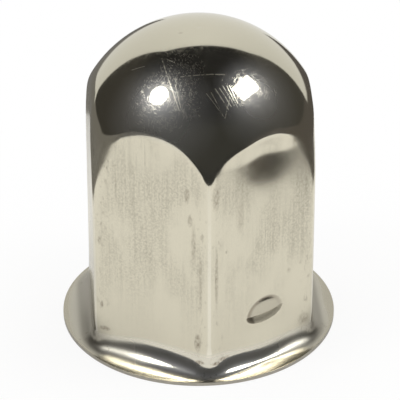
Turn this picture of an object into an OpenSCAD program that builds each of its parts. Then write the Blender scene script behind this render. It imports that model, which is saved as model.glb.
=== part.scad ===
// Push-on lug nut cover, drawn from one piece of stainless sheet.
// A round-ended cup is pressed in on six sides: every flat runs up into an arch on the dome,
// and the foot of the walls turns out into a thin round flange that stands on the wheel.
// Z is up the cover's axis. The origin is the middle of the flange's underside.

/* [Nut] */
// Across-flats size of the wheel nut that the cover is pushed over
nut_af = 33; // [27:0.5:41]
// Gap between the nut and each inner flat
nut_gap = 0.45; // [0.2:0.05:0.8]

/* [Sheet] */
// Thickness of the sheet
sheet_t = 0.6; // [0.4:0.05:0.8]

/* [Body] */
// Height from the flange's underside to the top of the dome
cover_h = 52.2; // [46:0.1:70]
// Outside radius of the six upright corners
corner_r = 1.4; // [1.1:0.1:1.8]
// Outside radius of the pressed edge round each arch
arch_r = 4; // [2.5:0.1:6]

/* [Flange] */
// Flat width of the flange at its narrowest, past the bend at a corner
flange_reach = 0.25; // [0.1:0.05:4]
// Outside radius of the bend between the walls and the flange
bend_r = 2; // [1:0.1:3]

/* [Lances] */
// Number of lanced flats, spread evenly
lance_count = 2; // [1, 2, 3]
// Direction that the first lanced flat faces, in degrees
lance_az = 300; // [0:60:300]
// Height of each slit above the flange's underside
slit_z = 8.75; // [8:0.05:16]
// Length of each slit
slit_l = 6.2; // [4.6:0.1:7.5]
// Sideways place of the slit's middle on its flat
slit_side = 0.5; // [-2:0.1:2]
// Tilt of the slit on its flat, in degrees
slit_tilt = 3.5; // [-10:0.5:10]
// Height of the tang below the slit
tang_h = 1.6; // [1:0.1:2]
// Inward set of the tang's free edge
tang_in = 1; // [0.9:0.05:1.4]
// Height of the lip above the slit
lip_h = 2.6; // [1.5:0.1:3]
// Outward set of the lip's free edge
lip_out = 0.4; // [0.2:0.05:0.5]

/* [Hidden] */
$fn = 96;
SIDES = 6;
TURN = 360 / SIDES;
HALF_TURN = TURN / 2;
// Length by which a cutter passes clear through a face
clear = 1;
// Each stretch of the foot runs into the next by the tuck, and lies inside its faces by the step
tuck = 0.04;
step = 0.005;
// The dome is wider than the corners by this much, so that it runs out cleanly on them
dome_over = 0.05;
// The arch's edge radius is moved out by this much, so that it crosses the flat and the dome
arch_lift = 0.03;

// Axis to the outer face of a flat, and to the centre of a corner's radius
flat_x = nut_af / 2 + nut_gap + sheet_t;
corner_x = (flat_x - corner_r) / cos(HALF_TURN);
// Half the length of a flat between its two corner radii
flat_half = corner_x * sin(HALF_TURN);
cup_r = corner_x + corner_r;
dome_r = cup_r + dome_over;
dome_z = cover_h - dome_r;
bend_top = sheet_t + bend_r;
flange_r = cup_r + bend_r + flange_reach;

// Where the arch's edge radius would touch the dome, as a lean from the flat's normal
arch_lean = acos((flat_x - arch_r) / (dome_r - arch_r));
// Centre of that radius: out from the normal, and along it
arch_x = (dome_r - arch_r) * sin(arch_lean) + arch_lift * tan(arch_lean / 2);
arch_y = flat_x - arch_r + arch_lift;
// Height on the arch, in degrees, at which its edge leaves the corner for the flat
arch_from = acos(flat_half / sqrt(dome_r * dome_r - flat_x * flat_x));

// Radius of the arc through a slit's ends and a middle that is set off by this much
function bow_r(set) = (pow(slit_l / 2, 2) + set * set) / (2 * set);
// The balls that form the tang and the lip: outline on the flat, centre's distance off it, radius
tang_outline = bow_r(tang_h);
tang_off = bow_r(tang_in) - tang_in;
tang_ball_r = norm([tang_off, tang_outline]);
lip_outline = bow_r(lip_h);
lip_off = bow_r(lip_out) - lip_out;
lip_ball_r = norm([lip_off, lip_outline]);

// Puts its children on each of the six sides, with X out of the flat
module on_sides() {
    for (side = [0 : SIDES - 1])
        rotate(side * TURN)
            children();
}

// Hexagon with round corners, moved in from the outer faces by inset
module hex_section(inset) {
    polygon([
        for (side = [0 : SIDES - 1], end = [-1, 1])
            let (a = side * TURN, x = flat_x - inset, y = end * flat_half)
            [x * cos(a) - y * sin(a), x * sin(a) + y * cos(a)]
    ]);
    on_sides()
        translate([flat_x - corner_r, flat_half])
            circle(corner_r - inset);
}

// Sharp rim to take off an arch, turned about the flat's normal
module arch_rim(inset) {
    reach = 2 * arch_r;
    rotate([90, 0, 90])
        rotate(arch_from)
            rotate_extrude(angle = 180 - 2 * arch_from)
                translate([arch_x, arch_y])
                    difference() {
                        polygon([[0, 0], [0, reach], reach * [sin(arch_lean), cos(arch_lean)]]);
                        circle(arch_r - inset);
                    }
}

// Six-sided cup with a round end, from a height up to the dome's top
module cup(inset, base) {
    difference() {
        intersection() {
            translate([0, 0, base])
                linear_extrude(cover_h - base)
                    hex_section(inset);
            union() {
                translate([0, 0, dome_z])
                    sphere(dome_r - inset);
                translate([0, 0, base - clear])
                    cylinder(r = 2 * cup_r, h = dome_z - base + clear);
            }
        }
        translate([0, 0, dome_z])
            on_sides() arch_rim(inset);
    }
}

// Section of the foot, some steps inside the wall's faces: X runs out of the outer face, Y up
module foot_section(steps) {
    inset = steps * step;
    out_r = bend_r + sheet_t - inset;
    in_r = bend_r + inset;
    translate([bend_r, bend_top])
        difference() {
            translate([-out_r, -out_r])
                square([out_r, out_r + tuck]);
            circle(in_r);
            translate([-in_r, 0])
                square(2 * in_r);
            difference() {
                translate([-2 * out_r, -2 * out_r])
                    square(2 * out_r);
                circle(out_r);
            }
        }
    translate([bend_r - steps * tuck, 0])
        square([flange_r - flat_x, sheet_t - inset]);
}

// Bend and flange, carried along the six flats and round the six corners
module foot() {
    intersection() {
        on_sides() {
            translate([flat_x, 0, 0])
                rotate([90, 0, 0])
                    linear_extrude(2 * (flat_half + tuck), center = true)
                        foot_section(1);
            translate([flat_x - corner_r, flat_half, 0])
                rotate_extrude(angle = TURN)
                    translate([corner_r, 0])
                        foot_section(2);
        }
        translate([0, 0, -clear])
            cylinder(r = flange_r, h = bend_top + 2 * clear);
    }
}

// Puts its children at every slit: X out of the flat, Y along the slit
module at_slits() {
    for (i = [0 : lance_count - 1])
        rotate(lance_az + i * 360 / lance_count)
            translate([flat_x, slit_side, slit_z])
                rotate([slit_tilt, 0, 0])
                    children();
}

// Block above the slit, or below it, from one depth to another
module slit_block(above, from_x, to_x) {
    translate([from_x, -slit_l, above ? 0 : -slit_l])
        cube([to_x - from_x, 2 * slit_l, slit_l]);
}

// Ball that dishes the tang in below the slit
module tang_ball(grow) {
    translate([tang_off, 0, tang_outline - tang_h])
        sphere(tang_ball_r + grow);
}

// Ball that swells the lip out above the slit
module lip_ball(grow) {
    translate([-lip_off, 0, lip_h - lip_outline])
        sphere(lip_ball_r + grow);
}

// Sheet that the lances push out of the wall: the tang's inner side and the lip's outer side
module lance_swells() {
    intersection() {
        tang_ball(sheet_t);
        slit_block(false, -2 * tang_in - sheet_t, -sheet_t / 2);
    }
    intersection() {
        lip_ball(0);
        slit_block(true, -sheet_t / 2, 2 * lip_out);
    }
}

// Room that the lances leave: the dish over the tang and the hollow behind the lip
module lance_hollows() {
    intersection() {
        tang_ball(0);
        slit_block(false, -2 * tang_in, clear);
    }
    intersection() {
        lip_ball(-sheet_t);
        slit_block(true, -sheet_t - clear, lip_out);
    }
}

module cover_shell() {
    color([0.78, 0.76, 0.71])
        difference() {
            union() {
                difference() {
                    cup(0, bend_top);
                    cup(sheet_t, bend_top - clear);
                }
                foot();
                at_slits() lance_swells();
            }
            at_slits() lance_hollows();
        }
}

cover_shell();
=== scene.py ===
import math
import bpy
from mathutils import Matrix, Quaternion, Vector


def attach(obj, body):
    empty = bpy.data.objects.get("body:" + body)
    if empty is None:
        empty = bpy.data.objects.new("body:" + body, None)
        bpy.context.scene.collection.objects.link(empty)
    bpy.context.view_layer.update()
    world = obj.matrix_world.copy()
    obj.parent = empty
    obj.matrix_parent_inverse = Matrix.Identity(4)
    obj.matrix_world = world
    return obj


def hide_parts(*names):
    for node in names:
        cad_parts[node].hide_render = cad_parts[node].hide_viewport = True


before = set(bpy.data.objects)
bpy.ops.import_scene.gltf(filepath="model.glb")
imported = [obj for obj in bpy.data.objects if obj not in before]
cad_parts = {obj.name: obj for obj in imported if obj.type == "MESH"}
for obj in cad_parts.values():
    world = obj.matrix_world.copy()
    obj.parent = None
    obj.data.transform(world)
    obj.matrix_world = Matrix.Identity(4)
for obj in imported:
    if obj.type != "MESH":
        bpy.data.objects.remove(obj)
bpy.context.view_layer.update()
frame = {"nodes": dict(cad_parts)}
mm = 0.001
print("frame loaded:", ", ".join(frame["nodes"]))


# a node socket that takes plain sums, in geometry trees and in materials
class Field:
    def __init__(self, tree, socket):
        self.tree = tree
        self.socket = socket

    def op(self, operation, *rest):
        return calc(self.tree, operation, self, *rest)

    def __add__(self, other):
        return self.op("ADD", other)

    def __sub__(self, other):
        return self.op("SUBTRACT", other)

    def __mul__(self, other):
        return self.op("MULTIPLY", other)

    def __truediv__(self, other):
        return self.op("DIVIDE", other)

    def __rsub__(self, other):
        return calc(self.tree, "SUBTRACT", other, self)

    __radd__ = __add__
    __rmul__ = __mul__


def plug(tree, slot, value):
    if isinstance(value, Field):
        tree.links.new(value.socket, slot)
    else:
        slot.default_value = value


def calc(tree, operation, *values):
    node = tree.nodes.new("ShaderNodeMath")
    node.operation = operation
    for slot, value in zip(node.inputs, values):
        plug(tree, slot, value)
    return Field(tree, node.outputs[0])


def ramp(value, start, end, low=0.0, high=1.0, soft=False):
    node = value.tree.nodes.new("ShaderNodeMapRange")
    node.interpolation_type = "SMOOTHSTEP" if soft else "LINEAR"
    for slot, item in zip(node.inputs, (value, start, end, low, high)):
        plug(value.tree, slot, item)
    return Field(value.tree, node.outputs[0])


# from one value to another, by a share from 0 to 1
def mixValue(share, first, second):
    return share * (second - first) + first


# the largest of some masks
def most(first, *others):
    for other in others:
        first = first.op("MAXIMUM", other)
    return first


def combine(tree, x, y, z):
    node = tree.nodes.new("ShaderNodeCombineXYZ")
    for slot, value in zip(node.inputs, (x, y, z)):
        plug(tree, slot, value)
    return Field(tree, node.outputs[0])


def separate(vector):
    node = vector.tree.nodes.new("ShaderNodeSeparateXYZ")
    plug(vector.tree, node.inputs[0], vector)
    return [Field(vector.tree, out) for out in node.outputs]


def vectorCalc(operation, first, second=None):
    node = first.tree.nodes.new("ShaderNodeVectorMath")
    node.operation = operation
    plug(first.tree, node.inputs[0], first)
    if second is not None:
        plug(first.tree, node.inputs["Scale"] if operation == "SCALE" else node.inputs[1], second)
    plain = operation in ("DOT_PRODUCT", "DISTANCE")
    return Field(first.tree, node.outputs["Value" if plain else "Vector"])


def noise(vector, scale, detail=2.0, roughness=0.5):
    node = vector.tree.nodes.new("ShaderNodeTexNoise")
    plug(vector.tree, node.inputs["Vector"], vector)
    node.inputs["Scale"].default_value = scale
    node.inputs["Detail"].default_value = detail
    node.inputs["Roughness"].default_value = roughness
    return Field(vector.tree, node.outputs[0])


# a geometry node on the mesh so far, which becomes the mesh
def place(tree, kind, mesh, **inputs):
    node = tree.nodes.new(kind)
    tree.links.new(mesh, node.inputs[0])
    for name, value in inputs.items():
        plug(tree, node.inputs[name], value)
    return node.outputs[0]


# what the mesh gives at each point, such as its place or normal
def given(tree, kind):
    return Field(tree, tree.nodes.new(kind).outputs[0])


# values kept on the mesh by name, because later nodes move its points
def keep(tree, mesh, name, value, domain="POINT"):
    node = tree.nodes.new("GeometryNodeStoreNamedAttribute")
    node.domain = domain
    node.inputs["Name"].default_value = name
    tree.links.new(mesh, node.inputs["Geometry"])
    plug(tree, node.inputs["Value"], value)
    return node.outputs[0]


def kept(tree, name):
    node = tree.nodes.new("GeometryNodeInputNamedAttribute")
    node.inputs["Name"].default_value = name
    return Field(tree, node.outputs[0])


# a new tree with a mesh output and one named input for each size
def newForm(name, sizes, meshIn=False):
    tree = bpy.data.node_groups.new(name, "GeometryNodeTree")
    tree.interface.new_socket(name="Mesh", in_out="OUTPUT", socket_type="NodeSocketGeometry")
    if meshIn:
        tree.interface.new_socket(name="Mesh", in_out="INPUT", socket_type="NodeSocketGeometry")
    for label, value in sizes.items():
        socket = tree.interface.new_socket(name=label, in_out="INPUT", socket_type="NodeSocketFloat")
        socket.default_value = value
    source = tree.nodes.new("NodeGroupInput")
    return tree, source, {label: Field(tree, source.outputs[label]) for label in sizes}


# the sheet: sizes in millimetres
coverShell = {
    "flatX": 17.55,          # axis to the outer face of a flat
    "cornerR": 1.4,          # upright corners
    "domeR": 20.098,
    "coverH": 52.195,
    "sheetT": 0.6,
    "archBlend": 0.65,       # softness of the pressed edge round each arch
    "leftBlend": 2.4,        # which is fuller on the left flat
    "shoulderCornerR": 8.5,  # the corners open out under the dome
    "frontCornerR": 2.6,     # but the front one less
    "footCornerR": 2.4,      # and again at the foot
    "bendH": 2.6,            # height of the flare from the walls to the flange
    "flareCornerR": 2.2,     # the corners open further as the flare turns out
    "footLean": 0.15,        # the walls lean out a little above the flare
    "footFold": 0.06,        # sheet gathered above the flare at each corner
    "frontFold": 0.2,        # and most at the front one
    "flangeR": 22.298,
    "flangeFlat": 0.2,       # flat width left at the rim
    "rimDip": 0.15,          # the rim is a little out of round
    "wave": 0.012,           # unevenness left by the press
}
# what the middle of each flat adds at its foot, by the way the flat faces in degrees
flare = {
    "taller": {0: 0.3, 60: 0.6, 120: 0.2, 180: 0.8, 240: 1.2, 300: 0.0},    # height of the flare
    "flatter": {0: 1.2, 60: 1.0, 120: 1.6, 180: 0.6, 240: 0.05, 300: 2.1},  # flat of the flange
    "leaning": {0: 0.2, 60: 0.1, 120: 0.3, 180: 0.1, 240: 0.0, 300: 0.45},  # lean of the wall
    "front": 1.0,            # and what the front corner adds to the flare's height
}
# how the corners' radius grows under the dome: an even rise, mixed with a later one
shoulders = {
    "even": (29, 40.5),      # heights where each rise begins and ends
    "late": (30, 41),
    "lateness": 1.7,
    "lateShare": 0.25,
    "moreOnRight": 0.3,
}
# the ridge of sheet gathered above the flare, which rises as it leaves each corner
gathered = {
    "height": 0.62,          # at the corner, as a share of the flare's height
    "rise": 0.25,
    "thick": 0.55,
    "near": 1.2,             # full this near the corner
    "far": 4.6,              # and gone this far from it
    "halfSide": 11,          # middle of a flat to its corner
}
# the shallow hollow near the top of each flat
flatHollows = {
    "depth": {0: 0.14, 60: 0.3, 120: 0.45, 180: 0.12, 240: 0.2, 300: 0.8},
    "along": 1.1,            # from the flat's middle to the hollow's
    "height": 38.4,
    "wide": 2.8,             # how the hollow spreads to its sides, down and up
    "below": 3.0,
    "above": 1.6,
    "uneven": 0.6,           # how far the hollows wander from an oval
    "swell": 0.58,           # the deepest one is pressed out above, which lowers its arch
    "swellHeights": (37, 41),
}
lance = {
    "slitZ": 8.75,
    "slitL": 6.2,
    "slitSide": 0.5,
    "slitTilt": 3.5,         # degrees
    "lipH": 2.6,
    "lipOut": 0.4,
    "tangH": 1.6,
    "tangIn": 1.0,
}
# ways that flats and corners face, in degrees
lanceFaces = (300, 120)
rightFlat, leftFlat = 300, 180
frontCorner, rightCorner = 270, 330
sideCount = 6
sideTurn, cornerTurn = 60, 30      # from flat to flat, and from a flat to its corner
crownTurn, shoulderTurn = 48, 42   # how far the dome falls in its two stretches
# rows of the sheet's grid in each stretch, from the top of the dome down to the rim
sheetRows = {"crown": 22, "shoulder": 40, "wall": 16, "aboveSlit": 18, "belowSlit": 12,
             "foot": 14, "bend": 12, "flange": 6}
slitRoom = {"above": 4.6, "below": 2.6}   # heights of the closer rows round the slits
sheetColumns = {"flat": 36, "corner": 12}


# a swelling that rises by a step at its outline, and evenly from there
def steppedSwell(height, step):
    height = height.op("MAXIMUM", 0)
    return (1 - (1 - height).op("POWER", 12)) * step + height * (1 - step)


# one lance: a slit with the sheet swelled out above it and pressed in below
def lanceForm(slitRow):
    sizes = {**lance, "azimuth": 0.0, "flatX": coverShell["flatX"], "sheetT": coverShell["sheetT"]}
    tree, source, size = newForm("lancePress", sizes, True)
    x, y, z = separate(given(tree, "GeometryNodeInputPosition"))
    azimuth = size["azimuth"].op("RADIANS")
    cosA, sinA = azimuth.op("COSINE"), azimuth.op("SINE")
    onWall = (x * cosA + y * sinA).op("GREATER_THAN", size["flatX"] - size["sheetT"])
    along = y * cosA - x * sinA - size["slitSide"]
    rise = z - size["slitZ"]
    across = along / size["slitL"] * 2
    inside = 1 - across * across
    onSlit = kept(tree, "sheetRow").op("COMPARE", slitRow, 0.1)
    mesh = place(tree, "GeometryNodeSplitEdges", source.outputs["Mesh"],
                 Selection=onSlit * inside.op("GREATER_THAN", 0) * onWall)
    lower = kept(tree, "panelRow") - slitRow
    lipShare, tangShare = rise / size["lipH"], rise / size["tangH"]
    lipStep, tangStep = 0.2, 0.4
    lip = steppedSwell(inside - lipShare * lipShare, lipStep) * lower.op("LESS_THAN", -0.2)
    tang = steppedSwell(inside - tangShare * tangShare, tangStep) * lower.op("GREATER_THAN", 0.2)
    push = lip * size["lipOut"] - tang * size["tangIn"]
    nearSlit = ramp(rise.op("ABSOLUTE"), 0, 3.6, 1, 0, True)
    nearSlit = nearSlit * ramp(along.op("ABSOLUTE"), 3, 7.5, 1, 0, True)
    lift = along * size["slitTilt"].op("RADIANS").op("TANGENT") * nearSlit
    mesh = place(tree, "GeometryNodeSetPosition", mesh,
                 Selection=onWall, Offset=combine(tree, cosA * push, sinA * push, lift))
    tree.links.new(mesh, tree.nodes.new("NodeGroupOutput").inputs[0])
    return tree


# the row at which each stretch of the sheet begins, and the number of rows
def startRows():
    starts, total = {}, 0
    for part, count in sheetRows.items():
        starts[part] = total
        total += count
    return starts, total


# the whole outer face of the sheet, from the top of the dome down to the rim
def coverShellForm(steel):
    tree, _, size = newForm("coverShellForm", {**coverShell, **lance})
    starts, rowCount = startRows()
    sideColumns = sheetColumns["flat"] + sheetColumns["corner"]
    grid = tree.nodes.new("GeometryNodeMeshGrid")
    for slot, value in zip(grid.inputs, (1, 1, sideCount * sideColumns + 1, rowCount + 1)):
        slot.default_value = value
    gridX, gridY = separate(given(tree, "GeometryNodeInputPosition"))[:2]

    # round the hexagon: half a flat, then half a corner, mirrored
    turn = (gridX + 0.5) * sideCount
    side = turn.op("FLOOR")
    share = (turn - side) * 2 - 1
    hand, share = share.op("SIGN"), share.op("ABSOLUTE")
    flatEnd = sheetColumns["flat"] / sideColumns
    lean = ramp(share, flatEnd, 1, 0, math.radians(cornerTurn))
    middle = 1 - ramp(share, 0, flatEnd, 0, 1, True)
    corner = side * sideTurn + hand * cornerTurn
    atFront = corner.op("COMPARE", frontCorner, 1)
    atRight = corner.op("COMPARE", rightCorner, 1) + corner.op("COMPARE", rightCorner - 360, 1)

    def onFlat(face):
        return side.op("COMPARE", face / sideTurn, 0.5)

    # down the section: dome, wall, bend, flange
    row = (gridY + 0.5) * rowCount

    def through(part, high=1.0):
        return ramp(row, starts[part], starts[part] + sheetRows[part], 0, high)

    bendH = size["bendH"] + atFront * (1 - middle) * flare["front"]
    flangeFlat, footLean = size["flangeFlat"], size["footLean"]
    for face in range(0, 360, sideTurn):
        amid = onFlat(face) * middle
        bendH = bendH + amid * flare["taller"][face]
        flangeFlat = flangeFlat + amid * flare["flatter"][face]
        footLean = footLean + amid * flare["leaning"][face]
    tilt = math.radians(90) - through("crown", math.radians(crownTurn))
    tilt = tilt - through("shoulder", math.radians(shoulderTurn))
    domeZ = size["coverH"] - size["domeR"]
    aboveZ, belowZ = size["slitZ"] + slitRoom["above"], size["slitZ"] - slitRoom["below"]
    drop = through("wall") * (domeZ - aboveZ) + through("aboveSlit") * (aboveZ - size["slitZ"])
    drop = drop + through("belowSlit") * (size["slitZ"] - belowZ)
    drop = drop + through("foot") * (belowZ - size["sheetT"] - bendH)
    fold = through("bend", math.radians(90))

    # the corners' radius, which grows under the dome, at the foot and in the flare
    upper = domeZ - drop + size["domeR"] * tilt.op("SINE")
    opening = ramp(upper, *shoulders["even"], 0, 1, True)
    late = ramp(upper, *shoulders["late"]).op("POWER", shoulders["lateness"])
    opening = mixValue(atRight * shoulders["moreOnRight"] + shoulders["lateShare"], opening, late)
    shoulderR = mixValue(atFront, size["shoulderCornerR"], size["frontCornerR"])
    atFoot = ramp(row, starts["foot"], starts["bend"] + 4, 0, 1, True)
    cornerR = size["cornerR"] + atFoot * (size["footCornerR"] - size["cornerR"])
    cornerR = cornerR + opening * (shoulderR - size["cornerR"])
    cornerR = cornerR + ramp(fold, 0, math.radians(60), 0, 1, True) * size["flareCornerR"]

    # the hexagon at this height, cut by the dome with a soft edge
    swell = onFlat(rightFlat) * ramp(upper, *flatHollows["swellHeights"], 0, 1, True)
    swell = swell * ramp(hand * share, -1, -0.2, 0, 1, True) * ramp(hand * share, 0.5, 0.85, 1, 0, True)
    straight = ramp(share, 0, flatEnd) * (size["flatX"] - cornerR) * math.tan(math.radians(cornerTurn))
    hexX = size["flatX"] - cornerR * (1 - lean.op("COSINE")) + swell * flatHollows["swell"]
    hexY = straight + cornerR * lean.op("SINE")
    reach = (hexX * hexX + hexY * hexY).op("SQRT")
    angle = hand * hexY.op("ARCTAN2", hexX) + side * math.radians(sideTurn)
    cosTilt = tilt.op("COSINE").op("MAXIMUM", 0.001)
    blend = mixValue(onFlat(leftFlat), size["archBlend"], size["leftBlend"])
    blend = blend * ramp(tilt, 0, math.radians(16), 0, 1, True) * ramp(share, 0.5, 1, 1, 0.4)
    radius = (reach / cosTilt).op("SMOOTH_MIN", size["domeR"].op("MAXIMUM", reach), blend)
    z = domeZ + radius * tilt.op("SINE") - drop - bendH * fold.op("SINE")

    # the foot: a ridge of gathered sheet, the lean of the wall, then out to the rim
    fromCorner = (1 - share) * gathered["halfSide"]
    ridge = z - size["sheetT"] - bendH * gathered["height"] - fromCorner * gathered["rise"]
    ridge = ridge / gathered["thick"]
    gather = ramp(fromCorner, gathered["near"], gathered["far"], 1, 0, True)
    gather = gather * (ridge * ridge * -1).op("EXPONENT")
    footFold = mixValue(atFront, size["footFold"], size["frontFold"])
    outR = radius * cosTilt + footFold * gather + footLean * ramp(z, 6.5, 1, 0, 1, True)
    rim = size["flangeR"] - size["rimDip"] * (0.5 - 0.5 * (angle - math.radians(225)).op("COSINE"))
    outR = mixValue(1 - fold.op("COSINE"), outR, rim - flangeFlat)
    outR = mixValue(through("flange"), outR, rim)

    # hollows near the top of the flats, pressed square to each flat
    depth = sum(onFlat(face) * deep for face, deep in flatHollows["depth"].items())
    acrossFlat = hand * hexY
    wander = (noise(combine(tree, acrossFlat, side * 9, z), 0.3, 1.0) - 0.5) * flatHollows["uneven"]
    offAlong = (acrossFlat - flatHollows["along"] + wander) / flatHollows["wide"]
    offHeight = z - flatHollows["height"] + wander
    upward, downward = offHeight.op("MAXIMUM", 0), offHeight.op("MINIMUM", 0)
    offHeight = upward / flatHollows["above"] + downward / flatHollows["below"]
    hollow = depth * ((offAlong * offAlong + offHeight * offHeight) * -0.5).op("EXPONENT")
    faceAngle = side * math.radians(sideTurn)
    x = outR * angle.op("COSINE") - hollow * faceAngle.op("COSINE")
    y = outR * angle.op("SINE") - hollow * faceAngle.op("SINE")

    # the grid takes this form, and the lances are pressed into it
    mesh = keep(tree, grid.outputs["Mesh"], "sheetRow", row)
    mesh = keep(tree, mesh, "panelRow", row, "FACE")
    flatShare = ramp(size["domeR"] - reach / cosTilt, -0.3, 0.6, 0, 1, True)
    mesh = keep(tree, mesh, "flatShare", flatShare)
    mesh = keep(tree, mesh, "flareShare", ramp(row, starts["bend"] - 2, starts["bend"] + 2, 0, 1, True))
    mesh = keep(tree, mesh, "footShare", ramp(row, starts["flange"] - 3, starts["flange"] + 1, 0, 1, True))
    mesh = keep(tree, mesh, "cornerShare", share)
    mesh = place(tree, "GeometryNodeSetPosition", mesh, Position=combine(tree, x, y, z))
    mesh = place(tree, "GeometryNodeMergeByDistance", mesh, Distance=0.002)
    mesh = place(tree, "GeometryNodeFlipFaces", mesh)
    press = lanceForm(starts["belowSlit"])
    for face in lanceFaces:
        node = tree.nodes.new("GeometryNodeGroup")
        node.node_tree = press
        tree.links.new(mesh, node.inputs["Mesh"])
        for label in (*lance, "flatX", "sheetT"):
            plug(tree, node.inputs[label], size[label])
        node.inputs["azimuth"].default_value = face
        mesh = node.outputs["Mesh"]

    # a slight sway over the walls and the dome, which ends above the foot and below the top
    here = given(tree, "GeometryNodeInputPosition")
    outward = given(tree, "GeometryNodeInputNormal")
    height = separate(here)[2]
    sway = (noise(here, 0.16, 1.0) - 0.62) * size["wave"]
    sway = sway * ramp(height, 3, 8, 0, 1, True) * ramp(height, 52, 46, 0, 1, True)
    mesh = place(tree, "GeometryNodeSetPosition", mesh, Offset=vectorCalc("SCALE", outward, sway))
    for spare in ("sheetRow", "panelRow"):
        mesh = place(tree, "GeometryNodeRemoveAttribute", mesh, Name=spare)
    mesh = place(tree, "GeometryNodeTransform", mesh, Scale=(mm, mm, mm))
    mesh = place(tree, "GeometryNodeSetShadeSmooth", mesh)
    mesh = place(tree, "GeometryNodeRealizeInstances", mesh)
    mesh = place(tree, "GeometryNodeSetMaterial", mesh, Material=steel)
    tree.links.new(mesh, tree.nodes.new("NodeGroupOutput").inputs[0])
    return tree


# the result of an object's modifiers as its own plain mesh
def settle(piece):
    bpy.context.view_layer.update()
    shape = piece.evaluated_get(bpy.context.evaluated_depsgraph_get())
    mesh = bpy.data.meshes.new_from_object(shape)
    piece.modifiers.clear()
    piece.data = mesh
    return mesh


cutEdges = {"round": 0.07, "steps": 2, "angle": 50}   # millimetres, and degrees past which an edge is sharp


def buildCoverShell(outer, inner, edge):
    piece = bpy.data.objects.new("coverShell", bpy.data.meshes.new("coverShell"))
    bpy.context.scene.collection.objects.link(piece)
    tree = coverShellForm(outer)
    form = piece.modifiers.new("form", "NODES")
    form.node_group = tree
    sizes = {**coverShell, **lance}
    for item in tree.interface.items_tree:
        if item.in_out == "INPUT":
            form[item.identifier] = sizes[item.name]
    mesh = settle(piece)
    mesh.materials.append(inner)
    mesh.materials.append(edge)
    sheet = piece.modifiers.new("sheet", "SOLIDIFY")
    sheet.thickness = coverShell["sheetT"] * mm
    sheet.offset = -1
    sheet.use_even_offset = True
    sheet.material_offset = 1
    sheet.material_offset_rim = 2
    edges = piece.modifiers.new("edges", "BEVEL")
    edges.width = cutEdges["round"] * mm
    edges.segments = cutEdges["steps"]
    edges.limit_method = "ANGLE"
    edges.angle_limit = math.radians(cutEdges["angle"])
    mesh = settle(piece)
    mesh.set_sharp_from_angle(angle=math.radians(cutEdges["angle"]))
    mesh.calc_loop_triangles()
    print("cover shell:", len(mesh.vertices), "points,", len(mesh.loop_triangles), "triangles")
    return piece


# a direction on the dome, by its turn from the front and its lift, in degrees
def domeWay(turn, lift):
    turn, lift = math.radians(turn), math.radians(lift)
    return Vector((math.sin(turn) * math.cos(lift), -math.cos(turn) * math.cos(lift), math.sin(lift)))


# a shader group whose named outputs are all masks or values
def newShaderGroup(name, inputs, outputs):
    tree = bpy.data.node_groups.new(name, "ShaderNodeTree")
    for label, kind in inputs.items():
        tree.interface.new_socket(name=label, in_out="INPUT", socket_type=kind)
    for label in outputs:
        tree.interface.new_socket(name=label, in_out="OUTPUT", socket_type="NodeSocketFloat")
    source = tree.nodes.new("NodeGroupInput")
    return tree, [Field(tree, source.outputs[label]) for label in inputs], tree.nodes.new("NodeGroupOutput")


vectorIn, valueIn = "NodeSocketVector", "NodeSocketFloat"


# the grain that drawing left on the sheet
def drawnGrainGroup():
    tree, (spot,), end = newShaderGroup(
        "drawnGrain", {"Spot": vectorIn}, ("Peel", "Lines", "Specks", "Cloud"))
    x, y, z = separate(spot)
    plug(tree, end.inputs["Peel"], noise(spot, 3.4, 2.0))
    plug(tree, end.inputs["Lines"], noise(combine(tree, x, y, z * 0.03), 3.0, 3.0))
    plug(tree, end.inputs["Specks"], ramp(noise(spot, 1.9, 4.0, 0.7), 0.66, 0.76))
    plug(tree, end.inputs["Cloud"], noise(combine(tree, x, y, z * 0.45), 0.22, 3.0))
    return tree


# fine short rubs on the dome: each lay runs round its own axis, with a slant across it
rubLays = {
    "axes": ((10, 88, 0.5), (-50, 20, 1.2), (40, 10, -0.8), (-15, 45, 2.0), (70, 50, -1.6), (-80, 35, 0.2)),
    "length": 5.0,         # millimetres from one rub to the next, along and across
    "gap": 0.17,
    "kept": 0.4,           # share of the rubs that show
}


def rubMarksGroup():
    tree, (way,), end = newShaderGroup("rubMarks", {"Way": vectorIn}, ("Hairs",))
    front = Vector((0, -1, 0))
    strokes = []
    for turn, lift, slant in rubLays["axes"]:
        axis = domeWay(turn, lift)
        aside = (front - axis * front.dot(axis)).normalized()   # so the lay closes at the back
        east, north = (vectorCalc("DOT_PRODUCT", way, line) for line in (aside, axis.cross(aside)))
        fall = vectorCalc("DOT_PRODUCT", way, axis).op("ARCCOSINE") * coverShell["domeR"]
        turned = north.op("ARCTAN2", east) * coverShell["domeR"]
        alongRub = (turned + fall * slant) / rubLays["length"]
        acrossRub = (fall - turned * slant * 0.3) / rubLays["gap"]
        cells = tree.nodes.new("ShaderNodeTexVoronoi")
        cells.voronoi_dimensions = "2D"
        cells.inputs["Scale"].default_value = 1
        plug(tree, cells.inputs["Vector"], combine(tree, alongRub, acrossRub, 0))
        chance = separate(Field(tree, cells.outputs["Color"]))[0]
        stroke = ramp(Field(tree, cells.outputs["Distance"]), 0.07, 0.15, 1, 0)
        strokes.append(stroke * chance.op("LESS_THAN", rubLays["kept"]))
    plug(tree, end.inputs["Hairs"], most(*strokes))
    return tree


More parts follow.
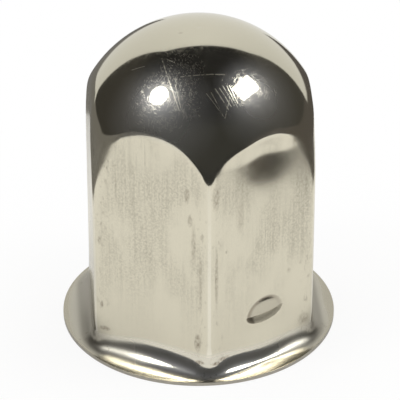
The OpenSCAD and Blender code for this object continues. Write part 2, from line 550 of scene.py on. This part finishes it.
# one mark along a great circle of the dome, broken up a little
def dragMarkGroup():
    tree, (way, plane, middle, reach, width), end = newShaderGroup(
        "dragMark", {"Way": vectorIn, "Plane": vectorIn, "Middle": vectorIn,
                     "Reach": valueIn, "Width": valueIn}, ("Mark",))
    off = vectorCalc("DOT_PRODUCT", way, plane).op("ABSOLUTE")
    inReach = ramp(vectorCalc("DOT_PRODUCT", way, middle) - reach, 0, 0.0008)
    broken = ramp(noise(way, 34, 2.0), 0.3, 0.55, 0.45, 1)
    plug(tree, end.inputs["Mark"], ramp(off / width, 1, 0.3) * inReach * broken)
    return tree


# a place on one flat: along the flat, its height, and whether it is on the flat that faces this way
def onFlatPlace(spot, azimuth):
    x, y, z = separate(spot)
    turn = azimuth.op("RADIANS")
    cosA, sinA = turn.op("COSINE"), turn.op("SINE")
    facing = (x * cosA + y * sinA).op("GREATER_THAN", coverShell["flatX"] - 1.6)
    return y * cosA - x * sinA, z, facing


def smudgeAndShadeGroup():
    tree, (spot, azimuth, along, height, wide, tall), end = newShaderGroup(
        "smudgeAndShade", {"Spot": vectorIn, "Azimuth": valueIn, "Along": valueIn, "Height": valueIn,
                   "Wide": valueIn, "Tall": valueIn}, ("Mark",))
    spotAlong, z, facing = onFlatPlace(spot, azimuth)
    offAlong, offHeight = (spotAlong - along) / wide, (z - height) / tall
    oval = ramp(offAlong * offAlong + offHeight * offHeight, 1.0, 0.2)
    broken = ramp(noise(combine(tree, spotAlong, z * 0.5, 0), 2.6, 3.0, 0.7), 0.4, 0.62, 0.2, 1)
    plug(tree, end.inputs["Mark"], oval * broken * facing)
    return tree


# one lance: painted shade on the lip and its creased outline, on the tang, and along the tang's edge and left
# end
def lanceShadeGroup():
    tree, (spot, azimuth), end = newShaderGroup(
        "lanceShade", {"Spot": vectorIn, "Azimuth": valueIn}, ("Crease", "Lip", "Tang", "Pocket"))
    along, z, facing = onFlatPlace(spot, azimuth)
    along = along - lance["slitSide"]
    rise = z - lance["slitZ"] - along * math.tan(math.radians(lance["slitTilt"]))
    across = along * 2 / lance["slitL"]
    lipShare, tangShare = rise / lance["lipH"], rise / lance["tangH"]
    lipOutline = across * across + lipShare * lipShare
    ring = ramp(lipOutline, 0.66, 0.98, 0, 1, True) * ramp(lipOutline, 1.04, 1.3, 1, 0, True)
    crease = ring * rise.op("GREATER_THAN", -0.1) * ramp(across, 0.4, 1.05, 1, 0.35)
    lip = ramp(lipOutline, 1.0, 0.8) * rise.op("GREATER_THAN", 0)
    tangOutline = across * across + tangShare * tangShare
    tang = ramp(tangOutline, 1.35, 1.15) * rise.op("LESS_THAN", 0.1)
    leftEnd = ramp(across, -0.42, -0.7, 0, 0.95, True)
    pocketShade = most(leftEnd, ramp(tangOutline, 0.55, 0.9, 0, 0.3, True)) * tang
    for label, mask in {"Crease": crease, "Lip": lip, "Tang": tang, "Pocket": pocketShade}.items():
        plug(tree, end.inputs[label], mask * facing)
    return tree


def useGroup(tree, group, **inputs):
    node = tree.nodes.new("ShaderNodeGroup")
    node.node_tree = group
    for label, value in inputs.items():
        plug(tree, node.inputs[label], value)
    return {out.name: Field(tree, out) for out in node.outputs}


def mix(tree, share, first, second):
    node = tree.nodes.new("ShaderNodeMix")
    node.data_type = "RGBA"
    plug(tree, node.inputs["Factor"], share)
    for slot, value in ((node.inputs[6], first), (node.inputs[7], second)):   # its two colours
        plug(tree, slot, value if isinstance(value, Field) else (*value, 1))
    return Field(tree, node.outputs[2])


# a metal material, with places on the piece in millimetres
def newFinish(name):
    material = bpy.data.materials.new(name)
    material.use_nodes = True
    tree = material.node_tree
    shader = tree.nodes["Principled BSDF"]
    shader.inputs["Metallic"].default_value = 1
    coords = tree.nodes.new("ShaderNodeTexCoord")
    spot = vectorCalc("SCALE", Field(tree, coords.outputs["Object"]), 1 / mm)
    return material, tree, shader, spot


def attribute(tree, name):
    node = tree.nodes.new("ShaderNodeAttribute")
    node.attribute_name = name
    return Field(tree, node.outputs["Fac"])


def bump(tree, height, distance, strength=1.0, normal=None):
    node = tree.nodes.new("ShaderNodeBump")
    node.inputs["Distance"].default_value = distance
    node.inputs["Strength"].default_value = strength
    plug(tree, node.inputs["Height"], height)
    if normal:
        plug(tree, node.inputs["Normal"], normal)
    return Field(tree, node.outputs["Normal"])


polish = {
    "steel": (0.70, 0.66, 0.535),
    "dullStreakAndLipShade": (0.5, 0.468, 0.378),       # streaks left by the drawing, and painted shade on the lances' lips
    "flange": (0.5, 0.468, 0.38),
    "paintedCornerHighlight": (1.0, 0.97, 0.87),       # painted highlight along the corners' crowns
    # stains, and painted shade in the folds at the corners' feet and along the lips' creases
    "stainAndShade": (0.26, 0.22, 0.17),
    # painted shade at the side flats' feet
    "paintedFootShade": (0.12, 0.102, 0.08),
    # painted shade on the tangs, pressed in away from the light
    "tang": (0.52, 0.48, 0.37),
    "pocketShade": (0.13, 0.11, 0.075),     # painted shade in each lance's pocket
    "domeRough": 0.07,
    "flatRough": 0.24,
    "footWallRough": 0.15,
    "flareRough": 0.1,
    "sideFlareRough": 0.26,            # added towards the sides
    "footRough": 0.24,
    "rubRough": 0.34,                  # added on rubs and drag marks
    "tangRough": 0.5,                  # added on the tangs
    "haze": 0.95,                      # soft glow on the rubbed dome
    "flareHaze": 0.85,
    "hazeRough": 0.4,
    "hazeIor": 3.2,
    "peel": 0.000004,                  # heights of the relief, in metres
    "lines": 0.0000015,
    "scratch": 0.000006,
    # heights in millimetres between which a finish changes
    # heights between which the painted corner highlight grows stronger downwards
    "highlightHeights": (34, 16),
    "scuffFoot": (6, 20),
    "scuffTop": (41, 33),
    "footWall": (6, 12),
    "sideFlare": (6, 15),              # the same, sideways from the axis
}
# the worn dome: soft round places, each with its turn and lift in degrees, width and strength
domeWear = {
    "worn": ((-28, 38, 0.54, 1.0), (34, 42, 0.46, 0.75)),
    "rubbed": ((-28, 44, 0.6, 1.0), (34, 46, 0.5, 0.7), (-20, 60, 0.45, 0.9), (-2, 66, 0.3, 0.5),
               (-15, 45, 0.22, 1.2), (-52, 50, 0.35, 0.7)),
    "core": 0.08,                      # each place is even this far from its middle
    "elsewhere": 0.08,                 # wear that clouds the rest of the dome
    "markStrength": 0.8,
    "nickStrength": 0.7,
}
# drag marks on the dome, each from one turn and lift to another, in degrees, with its width in millimetres
dragMarks = [
    ((-45, 64), (-16, 41.5), 0.16), ((-20, 57), (18.5, 57.5), 0.14),
    ((0, 50), (10, 37.5), 0.09), ((3, 51), (9, 39.5), 0.1), ((6.5, 52), (13, 41), 0.12),
    ((9.5, 52.3), (15, 42), 0.12), ((12.5, 52.8), (17, 42.5), 0.13), ((15.4, 53), (18.5, 41.5), 0.12),
    ((17.6, 52.6), (19.5, 43), 0.1), ((15.6, 47), (9.6, 37.5), 0.12), ((17, 58), (12, 54), 0.1),
    ((16, 56.6), (17, 54), 0.1), ((-41, 64.6), (-27, 63.4), 0.11), ((2.5, 66), (-0.5, 63), 0.1),
    ((48, 45), (47, 40.5), 0.1), ((-12, 45.3), (-3.5, 39), 0.07), ((-63, 52), (-53.5, 57.5), 0.07),
    ((-22, 53), (-14.5, 41), 0.1), ((-11.7, 48), (-14, 44), 0.12), ((-19, 46), (-14.4, 48.3), 0.1),
    ((-26.5, 51), (-18.5, 49), 0.09),
]
domeNick = ((-67.6, 79.5), (-59.4, 81.7), 0.3)   # dark, and given in the same way
# smudges on the flats, and painted shade in the folds at the corners' feet: way the flat faces, along,
# height, width, length and strength
smudgesAndFoldShade = [
    (240, 6.3, 32.6, 0.5, 1.6, 0.7), (240, 6.8, 28.3, 0.5, 1.3, 0.7), (240, -0.9, 37.6, 0.12, 2.4, 0.5),
    (240, -5.9, 31.0, 0.16, 2.6, 0.45), (240, -9.0, 20.7, 0.4, 0.9, 0.7), (240, -8.8, 8.8, 0.35, 0.8, 0.9),
    (240, 8.1, 6.2, 0.7, 1.9, 0.9), (240, 7.4, 24.0, 0.5, 4.5, 0.5), (240, 8.6, 17.0, 0.35, 6.0, 0.5),
    (300, 5.2, 14.8, 0.35, 0.6, 0.6), (300, 7.4, 15.6, 0.3, 0.5, 0.5), (300, -6.9, 22.4, 0.3, 0.4, 0.6),
    (300, -8.9, 32.8, 0.8, 2.6, 0.6), (300, -8.8, 18.0, 0.4, 6.5, 0.7), (300, -4.4, 28.0, 0.9, 3.4, 0.35),
    # the last five are painted shade in the folds at the foot of the corners
    (240, -8.3, 4.4, 1.1, 0.55, 0.8), (300, 8.2, 4.6, 1.3, 1.3, 0.6),
    (240, 8.6, 2.8, 0.9, 0.45, 1.0), (300, -7.6, 3.0, 1.3, 0.4, 1.0), (300, -9.0, 2.6, 0.9, 0.4, 1.0),
]
# painted shade at the foot of the side flats: it sets in away from the middle, thins out again towards the
# rim and is thickest round the two side corners
sideFootShade = {
    "setsIn": (15.5, 17.5),
    "thick": 0.65,
    "thins": (19.2, 20.4),
    "thin": 0.55,                      # share of it that is left at the rim
    "heights": (8, 2),
    "cornerX": 17.6,
    "cornerY": -8.5,
    "cornerReach": (4.5, 0.8),
    "cornerThick": 0.7,
    "cornerHeights": (7, 2),
    "cover": 0.92,
}


# how far each spot lies in some soft round places of the dome
def inPlaces(way, places, least):
    for turn, lift, wide, strength in places:
        far = vectorCalc("DISTANCE", way, domeWay(turn, lift))
        least = most(least, ramp(far, domeWear["core"], wide, strength, 0, True))
    return least


def dragMark(tree, groups, way, start, end, width):
    first, last = domeWay(*start), domeWay(*end)
    middle = (first + last).normalized()
    return useGroup(tree, groups["dragMark"], Way=way, Plane=first.cross(last).normalized(), Middle=middle,
                    Reach=middle.dot(first), Width=width / coverShell["domeR"])["Mark"]


# painted shade by the side flats' feet, from nothing to its full cover
def sideFootShadeMask(spot, onFoot):
    x, y, z = separate(spot)
    offAxis = x.op("ABSOLUTE")
    along = ramp(offAxis, *sideFootShade["setsIn"], 0, sideFootShade["thick"], True)
    along = along * ramp(offAxis, *sideFootShade["thins"], 1, sideFootShade["thin"], True)
    along = along * ramp(z, *sideFootShade["heights"], 0, 1, True)
    cornerX, cornerY = offAxis - sideFootShade["cornerX"], y - sideFootShade["cornerY"]
    toCorner = (cornerX * cornerX + cornerY * cornerY * 0.5).op("SQRT")
    corner = ramp(toCorner, *sideFootShade["cornerReach"], 0, sideFootShade["cornerThick"], True)
    return most(along, corner * ramp(z, *sideFootShade["cornerHeights"], 0, 1, True)) * (1 - onFoot)


def polishedStainless(groups):
    material, tree, shader, spot = newFinish("polishedStainless")
    x, y, z = separate(spot)
    onFlat, onFlare, onFoot, onCorner = (
        attribute(tree, name) for name in ("flatShare", "flareShare", "footShare", "cornerShare"))
    onDome, onBend = 1 - onFlat, onFlare * (1 - onFoot)
    grain = useGroup(tree, groups["drawnGrain"], Spot=spot)

    # drag marks and fine rubbing on the dome, densest on its worn places
    domeZ = coverShell["coverH"] - coverShell["domeR"]
    way = vectorCalc("NORMALIZE", vectorCalc("SUBTRACT", spot, (0, 0, domeZ)))
    elsewhere = grain["Cloud"] * domeWear["elsewhere"]
    worn = inPlaces(way, domeWear["worn"], elsewhere)
    scored = inPlaces(way, domeWear["rubbed"], elsewhere)
    fine = useGroup(tree, groups["rubMarks"], Way=way)["Hairs"] * ramp(scored, 0, 1.2, 0.06, 0.95)
    marks = most(*(dragMark(tree, groups, way, *mark) for mark in dragMarks)) * domeWear["markStrength"]
    rubbed = most(fine, marks) * onDome
    scratched = most(fine * 0.5, marks) * onDome

    # specks, ticks and smudges on the flats, painted shade in the folds at the corners' feet, a painted
    # highlight along the corners, a nick on the dome, and painted shade on the lances
    # a painted highlight along the crowns of the corners on the flats, stronger lower down
    cornerHighlight = ramp(onCorner, 0.88, 0.95, 0, 1, True) * onFlat * (1 - onFlare)
    cornerHighlight = cornerHighlight * ramp(z, *polish["highlightHeights"], 0.3, 1, True)
    ticks = ramp(noise(combine(tree, x, y, z * 0.4), 1.7, 4.0, 0.7), 0.58, 0.66)
    ticks = ticks * ramp(onCorner, 0.5, 0.76, 0, 1, True)
    stainedAndShaded = (grain["Specks"] * 0.35 + ticks * 0.5) * onFlat * (1 - cornerHighlight)
    for face, along, height, wide, tall, strength in smudgesAndFoldShade:
        smudgeAndShade = useGroup(tree, groups["smudgeAndShade"], Spot=spot, Azimuth=face, Along=along, Height=height,
                          Wide=wide, Tall=tall)["Mark"]
        stainedAndShaded = most(stainedAndShaded, smudgeAndShade * strength)
    stainedAndShaded = most(stainedAndShaded, dragMark(tree, groups, way, *domeNick) * domeWear["nickStrength"])
    shades = [useGroup(tree, groups["lanceShade"], Spot=spot, Azimuth=face) for face in lanceFaces]
    creaseShade, lipShade, inTang, pocketShadeMask = (
        sum(shade[label] for shade in shades) for label in ("Crease", "Lip", "Tang", "Pocket"))
    # painted shade along the creased outline of each lip joins the stains
    stainedAndShaded = most(stainedAndShaded, creaseShade * 0.75) * (1 - inTang)
    # painted shade by the side flats' feet, which also thins the coat there
    footShaded = sideFootShadeMask(spot, onFoot)

    # scuffs and streaks fade towards the foot and the arches
    scuffed = ramp(grain["Cloud"], 0.36, 0.6, 0.1, 1, True)
    scuffed = scuffed * ramp(z, *polish["scuffFoot"], 0.1, 1) * ramp(z, *polish["scuffTop"], 0.5, 1)
    streaks = ramp(grain["Lines"] * 0.4 + grain["Peel"] * 0.6, 0.42, 0.6) * onFlat * scuffed
    colour = mix(tree, streaks * 0.8 + scuffed * onFlat * 0.15, polish["steel"], polish["dullStreakAndLipShade"])
    # the flange tone, a painted highlight on the corners, painted shade on the lips and tangs, stains with
    # painted shade in folds and creases, painted shade in the pockets and by the side feet
    for share, name in ((onFoot, "flange"), (cornerHighlight * 0.9, "paintedCornerHighlight"), (lipShade * 0.8, "dullStreakAndLipShade"),
                        (inTang * 0.8, "tang"), (stainedAndShaded, "stainAndShade"), (pocketShadeMask, "pocketShade"),
                        (footShaded * sideFootShade["cover"], "paintedFootShade")):
        colour = mix(tree, share, colour, polish[name])
    plug(tree, shader.inputs["Base Color"], colour)

    wallRough = ramp(z, *polish["footWall"], polish["footWallRough"], polish["flatRough"])
    rough = mixValue(onFlat, polish["domeRough"], wallRough)
    rough = mixValue(onFoot, mixValue(onFlare, rough, polish["flareRough"]), polish["footRough"])
    rough = rough + rubbed * polish["rubRough"] + (grain["Cloud"] - 0.5) * 0.06 + inTang * polish["tangRough"]
    sideFlare = onBend * ramp(x.op("ABSOLUTE"), *polish["sideFlare"], 0, 1, True)
    plug(tree, shader.inputs["Roughness"], rough + sideFlare * polish["sideFlareRough"])
    plug(tree, shader.inputs["Metallic"], 1 - inTang * 0.7)
    hazed = most(onDome * worn * polish["haze"], onBend * polish["flareHaze"])
    plug(tree, shader.inputs["Coat Weight"], hazed * (1 - footShaded) * (1 - stainedAndShaded))
    shader.inputs["Coat Roughness"].default_value = polish["hazeRough"]
    shader.inputs["Coat IOR"].default_value = polish["hazeIor"]
    peel = bump(tree, grain["Peel"] * mixValue(onFlat, 0.15, 1.0), polish["peel"])
    lines = bump(tree, grain["Lines"] * onFlat, polish["lines"], 1.0, peel)
    plug(tree, shader.inputs["Normal"], bump(tree, 1 - scratched, polish["scratch"], 0.8, lines))
    return material


# the plain finishes: one grain mixes two colours, and one gives the roughness and the relief, in metres
drawnInside = {"colours": "Cloud", "grain": "Lines", "dark": (0.5, 0.47, 0.42), "pale": (0.62, 0.585, 0.52),
               "smooth": 0.34, "rough": 0.46, "relief": 0.000004}
# the cut edge's own duller tone, darkened further as painted contact shadow along the rim
shearedEdge = {"colours": "Peel", "grain": "Peel", "dark": (0.34, 0.32, 0.28), "pale": (0.5, 0.47, 0.41),
               "smooth": 0.26, "rough": 0.42, "relief": 0.000008}


def plainStainless(name, finish, groups):
    material, tree, shader, spot = newFinish(name)
    grain = useGroup(tree, groups["drawnGrain"], Spot=spot)
    run = grain[finish["grain"]]
    colour = mix(tree, grain[finish["colours"]], finish["dark"], finish["pale"])
    plug(tree, shader.inputs["Base Color"], colour)
    plug(tree, shader.inputs["Roughness"], mixValue(run, finish["smooth"], finish["rough"]))
    plug(tree, shader.inputs["Normal"], bump(tree, run, finish["relief"]))
    return material


groups = {"drawnGrain": drawnGrainGroup(), "rubMarks": rubMarksGroup(), "dragMark": dragMarkGroup(),
          "smudgeAndShade": smudgeAndShadeGroup(), "lanceShade": lanceShadeGroup()}
finishes = (polishedStainless(groups), plainStainless("drawnInside", drawnInside, groups),
            plainStainless("shearedEdge", shearedEdge, groups))
print("finishes:", ", ".join(finish.name for finish in finishes))
shell = buildCoverShell(*finishes)
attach(shell, "root")
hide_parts("cover_shell")

# what the metal stands on and reflects: sizes in metres
studio = {
    "paper": ((-0.146, -0.16), (0.074, -0.16), (0.066, 0.068), (-0.031, 0.068)),
    "paperZ": -0.00003,                # just under the rim
    "paperSteps": 32,
    "floor": (0.93, 0.925, 0.91),
    "plain": 0.78,                     # even light on everything
    "leftTable": (0.19, 0.184, 0.175),
    "rightTable": (0.1, 0.091, 0.083),
    "frontTable": (0.035, 0.035, 0.034),
    "leftWall": (0.045, 0.042, 0.036),
    "rightWall": (0.06, 0.057, 0.05),
    "frontWall": (0.042, 0.042, 0.039),
    "overhead": (0.014, 0.0135, 0.012),
    # turn and lift in degrees, shape, width and height, roll in degrees
    "lamps": {"lampLeft": (-72.4, 54.1, "ELLIPSE", 0.16, 0.16, 0),
              "lampRight": (80.7, 52.3, "RECTANGLE", 0.225, 0.135, -21)},
    "lampAway": 0.6,
    "lampAim": 0.035,
    "lampGlare": 8,
}
# the card behind, by the tangents of the ways that see it, across and above
# an edge with two values is soft between them
card = {
    "colour": (0.82, 0.82, 0.80),
    "sideColour": (0.73, 0.73, 0.71),
    "middle": 0.16,
    "halfWidth": (1.15, 1.21),
    "narrowing": 0.315,                # lost from the half width towards the top
    "top": (1.53, 1.61),
    "bow": 0.45,                       # the top curves down to the sides
    "foot": -0.12,
    "footEdge": 0.03,
    "stripMiddle": 0.15,               # one strip of it runs on down behind the cover
    "stripHalf": (0.13, 0.18),
    "stripFoot": -0.7,
}


# the floor is lit paper that fades to plain white for the camera at its margins
def paleFloor():
    material = bpy.data.materials.new("paleFloor")
    material.use_nodes = True
    tree = material.node_tree
    shader = tree.nodes["Principled BSDF"]
    shader.inputs["Base Color"].default_value = (*studio["floor"], 1)
    shader.inputs["Roughness"].default_value = 0.9
    shader.inputs["Specular IOR Level"].default_value = 0.1
    white = tree.nodes.new("ShaderNodeEmission")
    light = tree.nodes.new("ShaderNodeLightPath")
    fade = ramp(attribute(tree, "margin"), 0.05, 0.7, 1, 0.85, True)
    blend = tree.nodes.new("ShaderNodeMixShader")
    plug(tree, blend.inputs[0], fade * Field(tree, light.outputs["Is Camera Ray"]))
    tree.links.new(shader.outputs[0], blend.inputs[1])
    tree.links.new(white.outputs[0], blend.inputs[2])
    tree.links.new(blend.outputs[0], tree.nodes["Material Output"].inputs["Surface"])
    return material


def buildFloor():
    steps = studio["paperSteps"]
    nearL, nearR, farR, farL = (Vector(corner) for corner in studio["paper"])
    points, margins, faces = [], [], []
    for row in range(steps + 1):
        for column in range(steps + 1):
            u, v = column / steps, row / steps
            spot = nearL.lerp(nearR, u).lerp(farL.lerp(farR, u), v)
            points.append((spot.x, spot.y, studio["paperZ"]))
            margins.append(2 * min(u, 1 - u, v, 1 - v))
    for row in range(steps):
        for column in range(steps):
            corner = row * (steps + 1) + column
            faces.append((corner, corner + 1, corner + steps + 2, corner + steps + 1))
    mesh = bpy.data.meshes.new("floor")
    mesh.from_pydata(points, [], faces)
    mesh.attributes.new("margin", "FLOAT", "POINT").data.foreach_set("value", margins)
    mesh.materials.append(paleFloor())
    floor = bpy.data.objects.new("floor", mesh)
    bpy.context.scene.collection.objects.link(floor)


# white for the camera, and in the metal a card behind, a grey table, dark walls and a dark ceiling
def buildWorld():
    world = bpy.data.worlds.new("studio")
    bpy.context.scene.world = world
    world.use_nodes = True
    tree = world.node_tree
    coords = tree.nodes.new("ShaderNodeTexCoord")
    light = tree.nodes.new("ShaderNodeLightPath")
    onCamera, onGlossy, onGlass = (
        Field(tree, light.outputs[f"Is {ray} Ray"]) for ray in ("Camera", "Glossy", "Transmission"))
    x, y, z = separate(Field(tree, coords.outputs["Generated"]))
    flatWay = (x * x + y * y + 0.0001).op("SQRT")
    toRight = ramp(x / flatWay, -0.3, 0.3, 0, 1, True)
    toFront = ramp(y * -1 / flatWay, 0.25, 0.75, 0, 1, True)
    walls = mix(tree, toRight, studio["leftWall"], studio["rightWall"])
    walls = mix(tree, toFront, walls, studio["frontWall"])
    walls = mix(tree, ramp(z, 0.55, 0.85, 0, 1, True), walls, studio["overhead"])
    table = mix(tree, toRight, studio["leftTable"], studio["rightTable"])
    table = mix(tree, toFront, table, studio["frontTable"])
    room = mix(tree, ramp(z, -0.03, 0.01), table, walls)

    nearest = 0.001
    deep = y.op("MAXIMUM", nearest)
    across, above = x / deep, z / deep
    width = (across - card["middle"]).op("ABSOLUTE") + above * card["narrowing"]
    strip = (across - card["stripMiddle"]).op("ABSOLUTE")
    foot = ramp(strip, *card["stripHalf"], card["stripFoot"], card["foot"], True)
    onCard = y.op("GREATER_THAN", nearest) * ramp(width, *card["halfWidth"], 1, 0, True)
    onCard = onCard * ramp(above + across * across * card["bow"], *card["top"], 1, 0, True)
    onCard = onCard * ramp(above - foot, -card["footEdge"], card["footEdge"], 0, 1, True)
    shade = ramp((across - 0.1).op("ABSOLUTE"), 0.1, 0.9)
    room = mix(tree, onCard, room, mix(tree, shade, card["colour"], card["sideColour"]))
    seen = mix(tree, onGlossy, (studio["plain"],) * 3, room)
    seen = mix(tree, most(onCamera, onGlass), seen, (1, 1, 1))
    plug(tree, tree.nodes["Background"].inputs["Color"], seen)


def buildLamps():
    for name, (turn, lift, shape, wide, tall, roll) in studio["lamps"].items():
        data = bpy.data.lights.new(name, "AREA")
        data.shape = shape
        data.size, data.size_y = wide, tall
        data.energy = studio["lampGlare"] * wide * tall * math.pi
        lamp = bpy.data.objects.new(name, data)
        toward = domeWay(turn, lift)
        lamp.location = Vector((0, 0, studio["lampAim"])) + toward * studio["lampAway"]
        facing = toward.to_track_quat("Z", "Y") @ Quaternion((0, 0, 1), math.radians(roll))
        lamp.rotation_euler = facing.to_euler()
        bpy.context.scene.collection.objects.link(lamp)


# turn and lift in degrees, lens and sensor in millimetres, the rest in metres
view = {"turn": -4.693, "lift": 30.749, "away": 0.447, "height": 0.020884, "right": 0.000177,
        "lens": 250.2, "sensor": 36}


def buildCamera():
    data = bpy.data.cameras.new("camera")
    data.lens = view["lens"]
    data.sensor_width = view["sensor"]
    data.clip_start = 0.01
    camera = bpy.data.objects.new("camera", data)
    back = domeWay(view["turn"], view["lift"])
    turn = math.radians(view["turn"])
    target = Vector((view["right"] * math.cos(turn), view["right"] * math.sin(turn), view["height"]))
    camera.location = target + back * view["away"]
    camera.rotation_euler = back.to_track_quat("Z", "Y").to_euler()
    bpy.context.scene.collection.objects.link(camera)
    bpy.context.scene.camera = camera


buildFloor()
buildWorld()
buildLamps()
buildCamera()
bpy.context.scene.view_settings.view_transform = "Standard"
print("studio and camera set")
